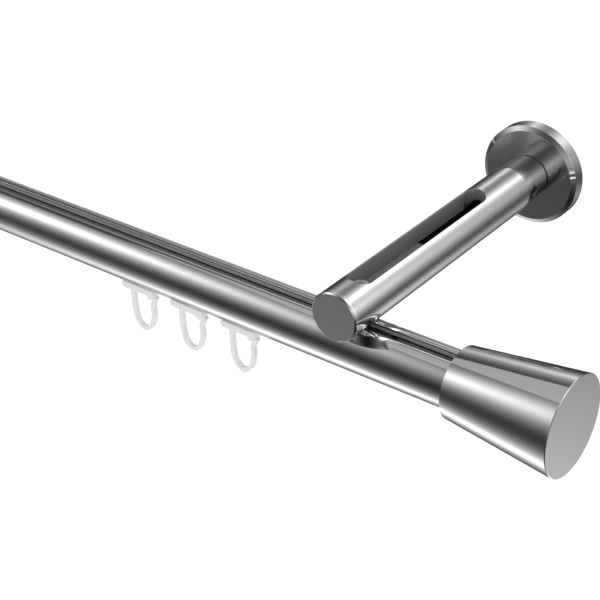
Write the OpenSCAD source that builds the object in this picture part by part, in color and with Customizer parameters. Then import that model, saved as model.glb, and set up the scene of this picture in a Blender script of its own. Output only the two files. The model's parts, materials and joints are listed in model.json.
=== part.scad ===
// Curtain rod with an inner glider track, two wall brackets and two cone finials.
// Origin: centre of the right bracket's wall face. +X runs along the rod to the right finial,
// +Y runs into the wall and +Z is up. Millimetres.

/* [Rod] */
// Length of the rod profile
rod_length = 1000; // [700:10:1300]
// Outer diameter of the rod
rod_d = 20; // [19:0.5:22]
// Thickness of the rod's round outer wall
rod_wall = 1.3; // [1:0.1:1.6]
// Width between the flanks' upper edges, over both shoulders beside the top groove
flank_edge_w = 10; // [9.6:0.1:10.4]
// Radius of the rounded shoulders beside the top groove
shoulder_r = 3.2; // [3:0.1:3.6]
// Distance between the crests of the two shoulders
shoulder_spacing = 6.7; // [6.4:0.1:7]
// Height of the shoulders' crests over the flanks' upper edges
shoulder_rise = 0.09; // [0.05:0.01:0.15]
// Width of the mouth of the top groove
groove_mouth_w = 4.5; // [4.4:0.1:5]
// Thickness of the lips of the top groove under their crests
groove_lip_t = 2.25; // [2:0.05:2.4]
// Width of the channel under the lips of the top groove
groove_channel_w = 8.4; // [8:0.1:9]
// Height of the channel under the lips of the top groove
groove_channel_h = 3.8; // [3.6:0.1:4.4]
// Width of the mouth of the glider track
track_mouth_w = 4; // [3.8:0.1:4.6]
// Thickness of the lips of the glider track at the middle
track_lip_t = 2.7; // [2.4:0.1:3]
// Width of the glider track's channel
track_channel_w = 8.8; // [8.4:0.1:9.2]
// Height of the glider track's channel
track_channel_h = 4; // [3.6:0.1:4.4]
// Wall around the groove and the track
channel_wall = 1.2; // [1:0.1:1.4]

/* [Bracket arm] */
// Distance from the wall to the rod's axis
wall_to_rod = 115; // [100:1:140]
// Distance from a bracket's middle to the finial
bracket_overhang = 39.5; // [34:0.5:60]
// Outer diameter of the arm tube
arm_d = 18; // [16.5:0.5:20]
// Wall of the arm tube
arm_wall = 4.5; // [4.3:0.1:4.6]
// How far the arm tube runs past the rod's axis
arm_front = 12.8; // [11:0.1:16]
// Distance from the wall to the back end of the arm tube
arm_back = 20.5; // [18:0.5:24]
// Width of the slot in the top of the arm
arm_slot_w = 9.3; // [9:0.1:10]
// Length of the slot in the top of the arm, from the clamp screw towards the wall
arm_slot_l = 69; // [60:1:70]
// Height of the slot's lower edge over the arm's axis
arm_slot_low = 0.9; // [0.5:0.1:1.5]
// Travel of the clamp along the arm's slots
clamp_travel = 40; // [30:1:40]
// Thickness of the end cap's disc
cap_t = 2; // [1.5:0.1:3]
// Chamfer of the end cap's edge
cap_chamfer = 0.5; // [0.3:0.1:0.8]
// Length of the end cap's plug in the tube
cap_plug_l = 5; // [3:0.5:5.3]

/* [Bracket foot] */
// Diameter of the hub between arm and rosette
hub_d = 16.5; // [15.5:0.1:17]
// Length of the hub's spigot in the arm tube
hub_spigot_l = 14; // [10:0.5:16]
// Diameter of the wall plate's neck
neck_d = 10; // [8:0.5:10.5]
// Length of the wall plate's neck
neck_l = 16; // [12:0.5:16]
// Diameter of the rosette
rosette_d = 39.5; // [38:0.5:44]
// Thickness of the rosette
rosette_t = 6.2; // [5:0.1:8]
// Width of the rosette's chamfer on its front face
rosette_chamfer_w = 1.8; // [1:0.1:2.4]
// Depth of the rosette's chamfer
rosette_chamfer_h = 1; // [0.6:0.1:1.4]
// Diameter of the wall plate
plate_d = 34; // [32:0.5:36]
// Thickness of the wall plate
plate_t = 3; // [2:0.1:3.4]
// Diameter of the wall plate's screw holes
plate_hole_d = 4.5; // [4:0.1:5]
// Distance between the wall plate's two screw holes
plate_hole_spacing = 23; // [21:0.5:23.5]
// Distance from the wall to the hub's grub screw
hub_screw_y = 15.8; // [13:0.1:17]

/* [Clamp] */
// Thread diameter of the clamp screw
clamp_screw_d = 4; // [3.5:0.1:4]
// Length of the clamp screw under its head
clamp_screw_l = 16; // [15:0.5:16.5]
// Diameter of the clamp screw's head
clamp_head_d = 7; // [6.5:0.1:7.5]
// Height of the clamp screw's head
clamp_head_h = 4; // [3.5:0.1:4.5]
// Width across the flats of the clamp screw's socket
clamp_socket_w = 3; // [2.5:0.1:3.5]
// Length of the clamp block behind its screw
block_back_l = 40; // [30:1:40]
// Length of the clamp block in front of its screw
block_front_l = 7; // [6:0.5:7]
// Height of the clamp block's top over the arm's axis
block_top = 1.25; // [0.5:0.05:2]
// Length of the slot nut along the rod
nut_l = 24; // [16:1:26]
// Thickness of the slot nut
nut_t = 3; // [2.5:0.1:3.2]

/* [Finial] */
// Length of the cone finial
finial_l = 41; // [32:1:60]
// Diameter of the finial where it meets the rod
finial_small_d = 25.4; // [25:0.1:28]
// Diameter of the finial's end face
finial_big_d = 35; // [32:0.5:40]
// Bevel of the finial's edges
finial_bevel = 0.3; // [0.2:0.1:0.6]
// Depth of the socket that the rod enters
finial_socket_l = 18; // [14:1:24]
// Distance of the finial's grub screw from its small end
finial_screw_x = 9; // [6:0.5:11]
// Diameter of the grub screws of hubs and finials
grub_d = 4; // [3:0.1:4]
// Width across the flats of the grub screws' sockets
grub_socket_w = 2; // [1.5:0.1:2.2]

/* [Gliders] */
// Distance from a bracket's middle to the first parked glider
parked_start = 51.5; // [48:0.1:56]
// Spacing of the three gliders parked beside each bracket
parked_pitch = 24.4; // [20:0.1:30]
// Spacing of the four gliders in the middle of the rod
middle_pitch = 95; // [60:1:110]
// Length of a glider's plate under the rod
plate_l = 16; // [15:0.1:18]
// Width of a glider's plate
plate_w = 8; // [6:0.1:10]
// Thickness of a glider's plate
glider_plate_t = 2.6; // [2:0.1:3]
// How far the beak at the plate's end reaches below the plate
beak_drop = 1.4; // [1:0.1:1.5]
// Width of a glider's hook across the rod
hook_w = 2.1; // [1.6:0.1:3]
// Thickness of the hook's stem
hook_stem_t = 1.8; // [1.4:0.1:2.2]
// Thickness of the hook's tip
hook_tip_t = 1.3; // [1:0.1:1.4]
// Length of a glider's head in the track
head_l = 14; // [10:0.5:15]
// Thickness of a glider's head in the track
head_t = 2.2; // [1.8:0.1:2.8]

/* [Track stops] */
// Length of a stop in the glider track
stop_l = 10; // [8:0.5:14]
// Distance from a bracket's middle to the far end of its stop
stop_end = 39; // [38:0.5:39.5]
// Diameter of a stop's screw
stop_screw_d = 2.5; // [2:0.1:2.8]

/* [Hidden] */
SIDES = ["right", "left"];
BRACKET_PARTS = [
    "wall_plate", "rosette", "hub", "hub_screw", "arm_tube", "end_cap",
    "clamp_block", "clamp_screw", "slot_nut"
];
END_PARTS = ["finial", "finial_screw", "track_stop", "track_stop_screw"];
GLIDER_COUNT = 10;

$fn = 96;
chrome = "silver";
steel = "lightsteelblue";
zinc = "gray";
plastic = "gainsboro";

// Clearances between pieces that slide or seat on each other
slide_gap = 0.07;
screw_gap = 0.05;
seat_gap = 0.05;
rest_gap = 0.04;
end_gap = 0.2;
rosette_gap = 0.3;
stop_gap = 0.14;
glider_neck_gap = 0.14;
glider_head_gap = 0.28;
// A cut reaches this far past the face that it opens
over = 1;

// Heights in the rod's own section, from its axis
rod_r = rod_d / 2;
crest_z = sqrt(rod_r * rod_r - flank_edge_w * flank_edge_w / 4) + shoulder_rise;
shoulder_z = crest_z - shoulder_r;
groove_roof_z = crest_z - groove_lip_t;
groove_floor_z = groove_roof_z - groove_channel_h;
track_floor_z = track_lip_t - rod_r;
track_roof_z = track_floor_z + track_channel_h;

// Places in the whole part
rod_z = -(arm_d / 2 + crest_z + rest_gap);
stop_low = track_lip_t / 3 - rod_r;
bracket_spacing = rod_length - 2 * (bracket_overhang + finial_socket_l - end_gap);
arm_end = wall_to_rod + arm_front;
tube_r = arm_d / 2 - arm_wall;
grub_r = grub_d / 2;

// Chamfers and small faces
countersink_d = 2 * plate_hole_d - 0.6;
socket_depth = 2;
grub_socket_depth = 1.2;
stop_socket_depth = 1;
plug_wall = 1.4;

// The hook's middle line, seen from the front: sideways from the glider's middle, and height
// below the plate's underside
hook_line = [
    [-5.85, 1], [-5.75, -7.5], [-5.3, -13], [-3.8, -16.6], [-0.8, -18.1], [2.2, -16],
    [3.6, -12.8], [4.2, -9.4], [4, -6.7], [4.8, -4.3], [6.5, -2.4]
];
hook_steps = 4;
glider_top_gap = 0.4;
beak_r = 1.2;
beak_x = 2;

// Moves its children to a distance from the wall: x stays, y turns up and z points into the room
module from_wall(distance) {
    rotate([90, 0, 0]) translate([0, 0, distance]) children();
}

// A slot with round ends, cut upwards from low to high between two distances from the wall
module slot_cut(width, near_wall, far_wall, low, high) {
    for (distance = [near_wall, far_wall])
        translate([0, -distance, low]) cylinder(d = width, h = high - low);
    translate([-width / 2, -far_wall, low]) cube([width, far_wall - near_wall, high - low]);
}

// A hexagon socket, sunk from z = 0 downwards
module hex_socket(width, depth) {
    translate([0, 0, -depth]) cylinder(d = width / cos(30), h = depth + over, $fn = 6);
}

// A flat outline with round ends
module stadium(length, width) {
    square([length - width, width], center = true);
    for (side = [-1, 1]) translate([side * (length - width) / 2, 0]) circle(d = width);
}

// Sections of the rod

module centred_block(width, low, high) {
    translate([-width / 2, low]) square([width, high - low]);
}

// What is cut off the rod's top between the flanks, so that the two rounded shoulders stay
module shoulder_cut() {
    outer = (flank_edge_w - shoulder_spacing) / 2;
    low = shoulder_z + sqrt(shoulder_r * shoulder_r - outer * outer);
    difference() {
        centred_block(flank_edge_w, low, rod_r + over);
        for (side = [-1, 1]) translate([side * shoulder_spacing / 2, shoulder_z]) circle(r = shoulder_r);
    }
}

module rod_hollow() {
    difference() {
        circle(r = rod_r - rod_wall);
        centred_block(groove_channel_w + 2 * channel_wall, groove_floor_z - channel_wall, rod_r);
        centred_block(track_channel_w + 2 * channel_wall, -rod_r, track_roof_z + channel_wall);
    }
}

module rod_section() {
    difference() {
        circle(r = rod_r);
        rod_hollow();
        shoulder_cut();
        centred_block(groove_mouth_w, groove_roof_z - over, rod_r + over);
        centred_block(groove_channel_w, groove_floor_z, groove_roof_z);
        centred_block(track_mouth_w, -rod_r - over, track_floor_z + over);
        centred_block(track_channel_w, track_floor_z, track_roof_z);
    }
}

module rod() {
    color(chrome)
        translate([bracket_overhang + finial_socket_l - end_gap - rod_length, -wall_to_rod, rod_z])
            rotate([90, 0, 90]) linear_extrude(rod_length) rod_section();
}

// Pieces of one bracket, with its arm's axis on the Y axis

module wall_plate() {
    color(zinc) from_wall(0) difference() {
        union() {
            cylinder(d = plate_d, h = plate_t);
            cylinder(d = neck_d, h = plate_t + neck_l);
        }
        for (side = [-1, 1]) translate([0, side * plate_hole_spacing / 2, 0]) {
            translate([0, 0, -over]) cylinder(d = plate_hole_d, h = plate_t + 2 * over);
            translate([0, 0, plate_t - (countersink_d - plate_hole_d) / 2])
                cylinder(d1 = plate_hole_d, d2 = countersink_d, h = (countersink_d - plate_hole_d) / 2);
            translate([0, 0, plate_t]) cylinder(d = countersink_d, h = over);
        }
    }
}

module rosette() {
    hollow_r = plate_d / 2 + rosette_gap;
    color(chrome) from_wall(0) difference() {
        union() {
            cylinder(d = rosette_d, h = rosette_t - rosette_chamfer_h);
            translate([0, 0, rosette_t - rosette_chamfer_h])
                cylinder(d1 = rosette_d, d2 = rosette_d - 2 * rosette_chamfer_w, h = rosette_chamfer_h);
        }
        translate([0, 0, -over]) cylinder(r = hollow_r, h = plate_t + end_gap + over);
        cylinder(d = neck_d + 2 * slide_gap, h = rosette_t + over);
    }
}

module hub() {
    start = rosette_t + seat_gap;
    bore_end = plate_t + neck_l + end_gap;
    color(chrome) from_wall(0) difference() {
        union() {
            translate([0, 0, start]) cylinder(d = hub_d, h = arm_back - start);
            translate([0, 0, start]) cylinder(r = tube_r - slide_gap, h = arm_back + hub_spigot_l - start);
        }
        translate([0, 0, start - over]) cylinder(d = neck_d + 2 * slide_gap, h = bore_end - start + over);
        translate([0, 0, hub_screw_y]) rotate([0, 90, 0]) cylinder(d = grub_d + 2 * screw_gap, h = hub_d);
    }
}

// A grub screw along z, from its tip at low to its socket end at high
module grub_screw(low, high) {
    color(steel) difference() {
        translate([0, 0, low]) cylinder(r = grub_r, h = high - low);
        translate([0, 0, high]) hex_socket(grub_socket_w, grub_socket_depth);
    }
}

module hub_screw() {
    from_wall(hub_screw_y) rotate([0, 90, 0]) grub_screw(neck_d / 2 + seat_gap, hub_d / 2 - end_gap);
}

module arm_tube() {
    slot_near = wall_to_rod - arm_slot_l;
    screw_near = wall_to_rod - clamp_travel - end_gap;
    color(chrome) difference() {
        from_wall(arm_back + seat_gap) cylinder(d = arm_d, h = arm_end - arm_back - seat_gap);
        from_wall(arm_back - over) cylinder(r = tube_r, h = arm_end - arm_back + 2 * over);
        slot_cut(arm_slot_w, slot_near, wall_to_rod - end_gap, arm_slot_low, arm_d / 2 + over);
        slot_cut(clamp_screw_d + 2 * end_gap, screw_near, wall_to_rod, -arm_d / 2 - over, 0);
    }
}

module end_cap() {
    color(chrome) from_wall(arm_end + seat_gap) difference() {
        union() {
            cylinder(d = arm_d, h = cap_t - cap_chamfer);
            translate([0, 0, cap_t - cap_chamfer])
                cylinder(d1 = arm_d, d2 = arm_d - 2 * cap_chamfer, h = cap_chamfer);
            translate([0, 0, -cap_plug_l]) cylinder(r = tube_r - slide_gap, h = cap_plug_l);
        }
        translate([0, 0, -cap_plug_l - over]) cylinder(r = tube_r - plug_wall, h = cap_plug_l + over);
    }
}

module clamp_block() {
    color(zinc) difference() {
        from_wall(wall_to_rod - block_back_l)
            cylinder(r = tube_r - slide_gap, h = block_back_l + block_front_l);
        translate([-arm_d, -wall_to_rod - block_front_l - over, block_top])
            cube([2 * arm_d, block_back_l + block_front_l + 2 * over, arm_d]);
        translate([0, -wall_to_rod, -arm_d]) cylinder(d = clamp_screw_d + 2 * screw_gap, h = 2 * arm_d);
    }
}

module clamp_screw() {
    seat = block_top + seat_gap;
    color(steel) translate([0, -wall_to_rod, seat]) difference() {
        union() {
            cylinder(d = clamp_head_d, h = clamp_head_h);
            translate([0, 0, -clamp_screw_l]) cylinder(d = clamp_screw_d, h = clamp_screw_l);
        }
        translate([0, 0, clamp_head_h]) hex_socket(clamp_socket_w, socket_depth);
    }
}

module slot_nut() {
    color(zinc) translate([0, -wall_to_rod, rod_z + groove_roof_z - seat_gap - nut_t]) difference() {
        translate([-nut_l / 2, slide_gap - groove_channel_w / 2, 0])
            cube([nut_l, groove_channel_w - 2 * slide_gap, nut_t]);
        translate([0, 0, -over]) cylinder(d = clamp_screw_d + 2 * screw_gap, h = nut_t + 2 * over);
    }
}

// Pieces at one end of the rod, with the bracket's middle at x = 0 and the end towards +X

module finial() {
    socket_r = rod_r + slide_gap;
    cone_l = finial_l - 2 * finial_bevel;
    color(chrome) translate([bracket_overhang, -wall_to_rod, rod_z]) difference() {
        rotate([0, 90, 0]) union() {
            cylinder(d1 = finial_small_d - 2 * finial_bevel, d2 = finial_small_d, h = finial_bevel);
            translate([0, 0, finial_bevel]) cylinder(d1 = finial_small_d, d2 = finial_big_d, h = cone_l);
            translate([0, 0, finial_l - finial_bevel])
                cylinder(d1 = finial_big_d, d2 = finial_big_d - 2 * finial_bevel, h = finial_bevel);
        }
        translate([-over, 0, 0]) rotate([0, 90, 0]) cylinder(r = socket_r, h = finial_socket_l + over);
        translate([finial_screw_x, 0, 0])
            rotate([-90, 0, 0]) cylinder(d = grub_d + 2 * screw_gap, h = finial_big_d);
    }
}

module finial_screw() {
    translate([bracket_overhang + finial_screw_x, -wall_to_rod, rod_z])
        rotate([-90, 0, 0]) grub_screw(rod_r + seat_gap, finial_small_d / 2);
}

module track_stop() {
    body_w = track_channel_w - 2 * stop_gap;
    neck_w = track_mouth_w - 2 * stop_gap;
    low = track_floor_z + seat_gap;
    color(plastic) translate([stop_end - stop_l, -wall_to_rod, rod_z]) difference() {
        union() {
            translate([0, -body_w / 2, low]) cube([stop_l, body_w, track_channel_h - 3 * seat_gap]);
            translate([0, -neck_w / 2, stop_low]) cube([stop_l, neck_w, track_lip_t]);
        }
        translate([stop_l / 2, 0, -rod_r - over]) cylinder(d = stop_screw_d + 2 * screw_gap, h = rod_r);
    }
}

module track_stop_screw() {
    color(steel) translate([stop_end - stop_l / 2, -wall_to_rod, rod_z]) difference() {
        translate([0, 0, stop_low]) cylinder(d = stop_screw_d, h = track_roof_z - seat_gap - stop_low);
        translate([0, 0, stop_low]) mirror([0, 0, 1]) hex_socket(stop_screw_d / 2, stop_socket_depth);
    }
}

// Gliders

// A point of a smooth line through the four points around it
function smooth(before, from, to, after, t) = 0.5 * (
    2 * from + (to - before) * t + (2 * before - 5 * from + 4 * to - after) * t * t
    + (3 * from - before - 3 * to + after) * t * t * t
);

// The hook's middle line with its steps filled in
hook_last = len(hook_line) - 1;
hook_points = [
    for (i = [0:hook_last - 1]) for (step = [0:hook_steps - 1])
        smooth(hook_line[max(i - 1, 0)], hook_line[i], hook_line[i + 1],
            hook_line[min(i + 2, hook_last)], step / hook_steps),
    hook_line[hook_last]
];
hook_point_last = len(hook_points) - 1;

// Direction square to the line at a point
function across(i) =
    let (run = hook_points[min(i + 1, hook_point_last)] - hook_points[max(i - 1, 0)])
    [-run[1], run[0]] / norm(run);

// Half the hook's thickness, from the stem to the tip
function half_t(i) = (hook_stem_t + (hook_tip_t - hook_stem_t) * i / hook_point_last) / 2;

// Points on an arc about a centre, both ends included
function arc(centre, r, from, to, steps) =
    [for (step = [0:steps]) let (a = from + (to - from) * step / steps) centre + r * [cos(a), sin(a)]];

module hook_outline() {
    tip = hook_points[hook_point_last];
    side = across(hook_point_last);
    tip_angle = atan2(side[1], side[0]);
    polygon(concat(
        [for (i = [0:hook_point_last - 1]) hook_points[i] + across(i) * half_t(i)],
        arc(tip, hook_tip_t / 2, tip_angle, tip_angle - 180, 6),
        [for (i = [hook_point_last - 1:-1:0]) hook_points[i] - across(i) * half_t(i)]
    ));
}

// The plate seen from the front, with its round end and its beak; its underside is at zero
module plate_outline() {
    end_r = glider_plate_t / 2;
    beak = [plate_l / 2 - beak_x, beak_r - beak_drop];
    polygon(concat(
        arc([end_r - plate_l / 2, end_r], end_r, 270, 90, 8),
        [[plate_l / 2, glider_plate_t], [plate_l / 2, end_r]],
        arc(beak, beak_r, 0, -160, 8),
        [[beak[0] - beak_r - beak_drop, 0]]
    ));
}

module front_slice(width) {
    rotate([90, 0, 0]) linear_extrude(width, center = true) children();
}

module glider() {
    plate_top = -rod_r - glider_top_gap;
    head_low = track_floor_z + seat_gap;
    neck_w = track_mouth_w - 2 * glider_neck_gap;
    head_w = track_channel_w - 2 * glider_head_gap;
    color(plastic) translate([0, -wall_to_rod, rod_z]) {
        translate([0, 0, plate_top - glider_plate_t]) {
            front_slice(plate_w) plate_outline();
            front_slice(hook_w) hook_outline();
        }
        translate([0, 0, head_low]) linear_extrude(head_t) stadium(head_l, head_w);
        translate([0, 0, plate_top - over / 2])
            linear_extrude(head_low - plate_top + over) stadium(head_l - neck_w, neck_w);
    }
}

function glider_x(number) =
    number <= 3 ? -parked_start - (number - 1) * parked_pitch
    : number <= 7 ? -bracket_spacing / 2 + (5.5 - number) * middle_pitch
    : -bracket_spacing + parked_start + (GLIDER_COUNT - number) * parked_pitch;

// Puts a piece of the right bracket or the right end on its own side
module on_side(side) {
    if (side == "right") children();
    else translate([-bracket_spacing, 0, 0]) mirror([1, 0, 0]) children();
}

rod();
for (side = SIDES) on_side(side) {
    wall_plate();
    rosette();
    hub();
    hub_screw();
    arm_tube();
    end_cap();
    clamp_block();
    clamp_screw();
    slot_nut();
    finial();
    finial_screw();
    track_stop();
    track_stop_screw();
}
for (number = [1:GLIDER_COUNT])
    translate([glider_x(number), 0, 0]) glider();
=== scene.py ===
"""Looks of a chrome curtain rod with an inner glider track, two wall brackets and two cone finials."""

import json
import math

import bmesh
import bpy
from mathutils import Matrix, Vector


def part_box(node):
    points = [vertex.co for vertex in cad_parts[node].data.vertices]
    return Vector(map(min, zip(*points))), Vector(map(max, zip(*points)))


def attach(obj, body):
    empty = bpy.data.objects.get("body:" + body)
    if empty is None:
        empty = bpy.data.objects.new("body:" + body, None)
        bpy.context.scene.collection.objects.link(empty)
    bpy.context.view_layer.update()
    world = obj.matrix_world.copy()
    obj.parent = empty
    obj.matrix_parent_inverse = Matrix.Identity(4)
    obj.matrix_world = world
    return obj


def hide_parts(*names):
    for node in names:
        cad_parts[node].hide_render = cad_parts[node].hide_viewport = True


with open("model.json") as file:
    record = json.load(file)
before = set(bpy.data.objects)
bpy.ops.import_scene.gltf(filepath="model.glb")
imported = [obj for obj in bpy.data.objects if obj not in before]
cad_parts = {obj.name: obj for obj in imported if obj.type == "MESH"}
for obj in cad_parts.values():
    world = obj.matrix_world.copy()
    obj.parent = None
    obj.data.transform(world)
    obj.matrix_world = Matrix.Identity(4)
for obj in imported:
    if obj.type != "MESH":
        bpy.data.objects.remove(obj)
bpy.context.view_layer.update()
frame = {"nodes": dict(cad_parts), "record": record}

BODY_OF = {
    node: body for body, nodes in frame["record"]["behaviour"]["bodies"].items() for node in nodes
}
MM = 0.001
X, Y, Z = range(3)
# Directions: along the rod, towards the wall, from it into the room, up and down
ALONG, WALL, ROOM, UP, DOWN = (1, 0, 0), (0, 1, 0), (0, -1, 0), (0, 0, 1), (0, 0, -1)


def middle_of(node):
    """The middle of a CAD node's box, in millimetres."""
    low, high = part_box(node)
    return (low + high) / 2 / MM


# Places and sizes of the part, in millimetres from the right bracket's wall face
ROD_Y, ROD_Z = middle_of("right_finial").yz
LEFT_X = middle_of("left_rosette").x
CLAMP_Y = 115

# The rod's section, from its axis
ROD_R = 10
ROD_WALL = 1.3
FLANK_EDGE_Y = 5
SHOULDER_R, SHOULDER_Y, CREST_Z = 3.2, 3.35, 8.75
GROOVE_MOUTH_Y, GROOVE_ROOF_Z, GROOVE_CHANNEL_Y, GROOVE_FLOOR_Z = 2.25, 6.5, 4.2, 2.7
TRACK_MOUTH_Y, TRACK_FLOOR_Z, TRACK_CHANNEL_Y, TRACK_ROOF_Z = 2, -7.3, 4.4, -3.3
CHANNEL_WALL = 1.2

# The bracket: arm with its bore, the wide slot for the screw's head and the narrow one for its shank
ARM_R, BORE_R, SLOT_R, SLOT_LOW, SCREW_SLOT_R = 9, 4.5, 4.65, 0.9, 2.2
SLOT_NEAR, SCREW_SLOT_NEAR = 46, 74.8
SPIGOT_R, NECK_BORE_R = 4.43, 5.07

# Play of the plastic pieces in the rod's track, and how many gliders run in it
TRACK_GAP, GLIDERS = 0.05, 10

# The finial's socket, and the grub screws with their holes
SOCKET_R, FINIAL_SOCKET = 10.07, 18
GRUB_R, GRUB_HOLE_R = 2, 2.05

# The hook's middle line from the front: sideways from the glider's middle, and height under its plate
HOOK_LINE = [
    (-5.85, 1), (-5.75, -7.5), (-5.3, -13), (-3.8, -16.5), (-0.8, -18), (2.2, -15.9),
    (3.6, -12.8), (4.2, -9.4), (4, -6.7), (4.6, -4.4), (5.7, -2.7)
]
# Degrees at which the steps of its rounded tip lie on their quarter circle
TIP_LEANS = (20, 38, 54, 68, 80)

# Camera: where it stands, in millimetres, and how it is turned, in degrees, with its lens and sensor
CAMERA_PLACE = (244.26, -450.89, 254.51)
CAMERA_ELEVATION, CAMERA_AZIMUTH, CAMERA_ROLL = 31.54, 38.74, -1.87
CAMERA_LENS, CAMERA_SENSOR = 88.56, 36.0
CAMERA_NEAREST = 0.01
# The picture is moved by half of one of its pixels
PICTURE_PIXELS = 600
CAMERA_SHIFT = 0.5 / PICTURE_PIXELS

# Soft lamps of the studio, as the metal sees them: height over the horizon and direction in degrees
# (0 is in front of the rod, 90 at its right end), strength at the middle, and fading per degree
STUDIO_LAMPS = [
    (29, -55, 2.0, 0.086),
    (-57, -71, 1.6, 0.073),
    (40, 156, 1.8, 0.084),
    (19, 113, 4.6, 0.085),
    (-56, 147, 3.0, 0.1),
    (-30, -146, 0.1, 0.05),
    (26, -150, 0.8, 0.085),
    (12, 35, 0.9, 0.07),
    (80, 60, 0.4, 0.06),
]
# One flat panel with a sharp edge: height, direction, strength, radius and width of its edge
STUDIO_PANEL = (85, -160, 0.37, 38, 1.2)
# Taken off the lamps' light, so that the metal is black between them, before the gain
STUDIO_LOSS = 0.015
STUDIO_GAIN = 1.25
LAMP_COLOUR = (0.975, 0.985, 1.0, 1.0)
# What isn't mirrored in the metal sees plain white
WHITE_COLOUR, WHITE_STRENGTH = (1, 1, 1, 1), 1.0
# The floor, in metres, lies so low that views from below stay free
FLOOR_DROP, FLOOR_SIZE = 3.5, 12
FLOOR_FINISH = {
    "Base Color": (0.9, 0.9, 0.9, 1), "Roughness": 0.9,
    "Emission Color": (1, 1, 1, 1), "Emission Strength": 0.2
}


def direction(elevation, azimuth):
    """A unit vector from a height over the horizon and a direction round the rod, in degrees."""
    height, turn = math.radians(elevation), math.radians(azimuth)
    return Vector((math.sin(turn) * math.cos(height), -math.cos(turn) * math.cos(height), math.sin(height)))


def make_camera():
    """The photograph's view of the right bracket and the rod's right end."""
    back = direction(CAMERA_ELEVATION, CAMERA_AZIMUTH)
    right = Vector(UP).cross(back).normalized()
    up = back.cross(right)
    roll = math.radians(CAMERA_ROLL)
    turned_right = math.cos(roll) * right + math.sin(roll) * up
    turned_up = back.cross(turned_right)
    data = bpy.data.cameras.new("camera")
    data.lens = CAMERA_LENS
    data.sensor_width = CAMERA_SENSOR
    data.shift_x = -CAMERA_SHIFT
    data.shift_y = CAMERA_SHIFT
    data.clip_start = CAMERA_NEAREST
    camera = bpy.data.objects.new("camera", data)
    bpy.context.scene.collection.objects.link(camera)
    turned = Matrix((turned_right, turned_up, back)).transposed().to_4x4()
    camera.matrix_world = Matrix.Translation(Vector(CAMERA_PLACE) * MM) @ turned
    bpy.context.scene.camera = camera


# Nodes

def link(tree, source, target):
    tree.links.new(source, target)


def fill(tree, slot, value):
    """Gives an input a socket to follow or a plain value."""
    if isinstance(value, bpy.types.NodeSocket):
        link(tree, value, slot)
    else:
        slot.default_value = value


def add_node(tree, kind, settings=None, **inputs):
    """A shader or geometry node with its settings; an input is a socket to link or a plain value."""
    node = tree.nodes.new(kind)
    for name, value in (settings or {}).items():
        setattr(node, name, value)
    for name, value in inputs.items():
        fill(tree, node.inputs[name.replace("_", " ")], value)
    return node


def math_node(tree, operation, *values, kind="ShaderNodeMath"):
    """A Math node whose inputs are sockets or plain values; gives its first output."""
    node = add_node(tree, kind, {"operation": operation})
    for slot, value in zip(node.inputs, values):
        fill(tree, slot, value)
    return node.outputs[0]


def vector_math(tree, operation, *values):
    return math_node(tree, operation, *values, kind="ShaderNodeVectorMath")


def new_tree(name, kind, inputs, outputs):
    """An empty node group; gives the tree, the sockets of its input node and those of its output node."""
    tree = bpy.data.node_groups.new(name, kind)
    for label, socket in inputs.items():
        tree.interface.new_socket(label, in_out="INPUT", socket_type="NodeSocket" + socket)
    for label, socket in outputs.items():
        tree.interface.new_socket(label, in_out="OUTPUT", socket_type="NodeSocket" + socket)
    return tree, tree.nodes.new("NodeGroupInput").outputs, tree.nodes.new("NodeGroupOutput").inputs


def end_tree(tree, shape, material, result):
    """The end of a geometry tree: its copies become real and take their material."""
    real = add_node(tree, "GeometryNodeRealizeInstances", Geometry=shape.outputs[0])
    dressed = add_node(tree, "GeometryNodeSetMaterial", Geometry=real.outputs[0], Material=material)
    link(tree, dressed.outputs[0], result[0])


# Studio

def make_studio():
    """White all round for the camera, even soft light for plastics, and soft lamps for the metal."""
    world = bpy.data.worlds.new("studio")
    bpy.context.scene.world = world
    world.use_nodes = True
    tree = world.node_tree
    tree.nodes.clear()
    looking = tree.nodes.new("ShaderNodeTexCoord").outputs["Generated"]
    just_under_one = 0.999999

    def angle_from(elevation, azimuth):
        """How far the looked-at direction lies from another one, in degrees."""
        dot = vector_math(tree, "DOT_PRODUCT", looking, direction(elevation, azimuth)).node.outputs["Value"]
        angle = math_node(tree, "ARCCOSINE", math_node(tree, "MINIMUM", dot, just_under_one))
        return math_node(tree, "MULTIPLY", angle, math.degrees(1))

    elevation, azimuth, strength, radius, edge = STUDIO_PANEL
    inside = math_node(tree, "SUBTRACT", radius, angle_from(elevation, azimuth))
    panel = math_node(tree, "DIVIDE", inside, edge)
    panel.node.use_clamp = True
    total = math_node(tree, "POWER", math_node(tree, "MULTIPLY", panel, strength), 2)
    for elevation, azimuth, strength, fading in STUDIO_LAMPS:
        angle = angle_from(elevation, azimuth)
        fade = math_node(tree, "EXPONENT", math_node(tree, "MULTIPLY", angle, -2 * fading))
        total = math_node(tree, "ADD", total, math_node(tree, "MULTIPLY", fade, strength ** 2))
    light = math_node(tree, "SUBTRACT", math_node(tree, "SQRT", total), STUDIO_LOSS)
    light = math_node(tree, "MAXIMUM", math_node(tree, "MULTIPLY", light, STUDIO_GAIN), 0)
    lamps = add_node(tree, "ShaderNodeBackground", Strength=light, Color=LAMP_COLOUR)
    white = add_node(tree, "ShaderNodeBackground", Strength=WHITE_STRENGTH, Color=WHITE_COLOUR)
    in_metal = tree.nodes.new("ShaderNodeLightPath").outputs["Is Glossy Ray"]
    mix = add_node(tree, "ShaderNodeMixShader", Fac=in_metal)
    link(tree, white.outputs[0], mix.inputs[1])
    link(tree, lamps.outputs[0], mix.inputs[2])
    add_node(tree, "ShaderNodeOutputWorld", Surface=mix.outputs[0])
    bpy.context.scene.view_settings.view_transform = "Standard"


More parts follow.
